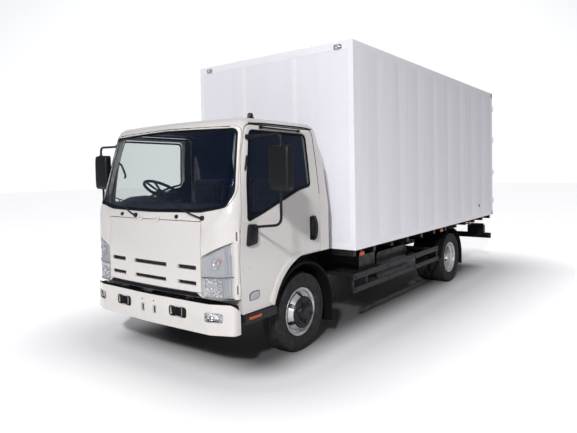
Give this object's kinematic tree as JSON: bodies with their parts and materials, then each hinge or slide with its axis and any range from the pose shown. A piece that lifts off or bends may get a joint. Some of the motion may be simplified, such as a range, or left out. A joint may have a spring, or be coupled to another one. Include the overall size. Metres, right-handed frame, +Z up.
{
  "type": "box truck",
  "caption": "Light box truck with a tilting cab, opening doors, front lid, steered front wheels, twin rear wheels and a closed load box with two rear doors.",
  "frame": {"origin": "on the ground under the middle of the truck's length and width", "axes": "+X to the truck's left, +Y to its rear, +Z up"},
  "size_m": [2.782, 6.908, 3.164],
  "materials": {
    "cab_paint": "gloss",
    "box_panel": "gloss",
    "box_frame_paint": "satin",
    "chassis_paint": "satin",
    "engine_iron": "rough",
    "exhaust_steel": "dull",
    "bumper_paint": "gloss",
    "guard_paint": "satin",
    "black_plastic": "textured",
    "dash_plastic": "grained",
    "seat_cloth": "woven",
    "window_glass": "clear",
    "lamp_lens": "clear",
    "tail_lens": "ribbed",
    "tyre_rubber": "matt",
    "wheel_silver": "satin",
    "zinc_steel": "galvanised"
  },
  "bodies": {
    "chassis": {"frame_rails": "chassis_paint", "frame_crossmembers": "chassis_paint", "front_axle_beam": "chassis_paint", "rear_axle": "chassis_paint", "leaf_springs": "chassis_paint", "engine_block": "engine_iron", "driveline": "engine_iron", "fuel_tank": "chassis_paint", "battery_box": "chassis_paint", "exhaust": "exhaust_steel", "front_bumper": "bumper_paint", "fog_lamps": "lamp_lens", "cab_steps": "black_plastic", "mudguards": "black_plastic", "side_guards": "guard_paint", "rear_underrun": "guard_paint", "tail_lamps": "tail_lens", "box_floor": "chassis_paint", "box_sides": "box_panel", "box_front_wall": "box_panel", "box_roof": "box_panel", "box_rear_frame": "box_frame_paint"},
    "cab": {"cab_front": "cab_paint", "cab_floor": "cab_paint", "cab_back_wall": "cab_paint", "cab_roof": "cab_paint", "windscreen": "window_glass", "headlamps": "lamp_lens", "dashboard": "dash_plastic", "steering_column": "black_plastic", "seat_cushions": "seat_cloth"},
    "steering_wheel": {"steering_wheel": "black_plastic"},
    "front_lid": {"front_lid": "cab_paint"},
    "door_left": {"door_left": "cab_paint", "door_glass_left": "window_glass", "mirror_left": "black_plastic"},
    "knuckle_left": {"knuckle_left": "chassis_paint"},
    "front_wheel_left": {"front_tyre_left": "tyre_rubber", "front_rim_left": "wheel_silver"},
    "rear_wheels_left": {"rear_tyres_left": "tyre_rubber", "rear_rims_left": "wheel_silver"},
    "rear_door_left": {"rear_door_left": "box_panel", "rear_door_rods_left": "zinc_steel"},
    "door_right": {"door_right": "cab_paint", "door_glass_right": "window_glass", "mirror_right": "black_plastic"},
    "knuckle_right": {"knuckle_right": "chassis_paint"},
    "front_wheel_right": {"front_tyre_right": "tyre_rubber", "front_rim_right": "wheel_silver"},
    "rear_wheels_right": {"rear_tyres_right": "tyre_rubber", "rear_rims_right": "wheel_silver"},
    "rear_door_right": {"rear_door_right": "box_panel", "rear_door_rods_right": "zinc_steel"}
  },
  "joints": [
    {"name": "cab_tilt", "type": "hinge", "parent": "chassis", "child": "cab", "pos_m": [0, -3.365, 0.52], "axis": [1, 0, 0], "range_deg": [0, 45]},
    {"name": "front_lid_lift", "type": "hinge", "parent": "cab", "child": "front_lid", "pos_m": [0, -3.433, 1.361], "axis": [-1, 0, 0], "range_deg": [0, 75]},
    {"name": "steering_wheel_turn", "type": "hinge", "parent": "cab", "child": "steering_wheel", "pos_m": [-0.43, -2.905, 1.59], "axis": [0, 0.5299, 0.848], "range_deg": [-560, 560]},
    {"name": "door_left_swing", "type": "hinge", "parent": "cab", "child": "door_left", "pos_m": [0.98, -3.269, 1.015], "axis": [0, 0, -1], "range_deg": [0, 70]},
    {"name": "steer_left", "type": "hinge", "parent": "chassis", "child": "knuckle_left", "pos_m": [0.74, -2.345, 0.3835], "axis": [0, 0, 1], "range_deg": [-35, 35]},
    {"name": "front_wheel_left_spin", "type": "hinge", "parent": "knuckle_left", "child": "front_wheel_left", "pos_m": [0.84, -2.345, 0.3835], "axis": [1, 0, 0], "continuous": true},
    {"name": "rear_wheels_left_spin", "type": "hinge", "parent": "chassis", "child": "rear_wheels_left", "pos_m": [0.845, 1.47, 0.3835], "axis": [1, 0, 0], "continuous": true},
    {"name": "rear_door_left_swing", "type": "hinge", "parent": "chassis", "child": "rear_door_left", "pos_m": [1.177, 3.44, 2], "axis": [0, 0, -1], "range_deg": [0, 262]},
    {"name": "door_right_swing", "type": "hinge", "parent": "cab", "child": "door_right", "pos_m": [-0.98, -3.269, 1.015], "axis": [0, 0, 1], "range_deg": [0, 70]},
    {"name": "steer_right", "type": "hinge", "parent": "chassis", "child": "knuckle_right", "pos_m": [-0.74, -2.345, 0.3835], "axis": [0, 0, 1], "range_deg": [-35, 35]},
    {"name": "front_wheel_right_spin", "type": "hinge", "parent": "knuckle_right", "child": "front_wheel_right", "pos_m": [-0.84, -2.345, 0.3835], "axis": [1, 0, 0], "continuous": true},
    {"name": "rear_wheels_right_spin", "type": "hinge", "parent": "chassis", "child": "rear_wheels_right", "pos_m": [-0.845, 1.47, 0.3835], "axis": [1, 0, 0], "continuous": true},
    {"name": "rear_door_right_swing", "type": "hinge", "parent": "chassis", "child": "rear_door_right", "pos_m": [-1.177, 3.44, 2], "axis": [0, 0, 1], "range_deg": [0, 262]}
  ],
  "couplings": [
    {"joint": "steer_right", "follows": "steer_left", "ratio": 1},
    {"joint": "steering_wheel_turn", "follows": "steer_left", "ratio": 16}
  ]
}
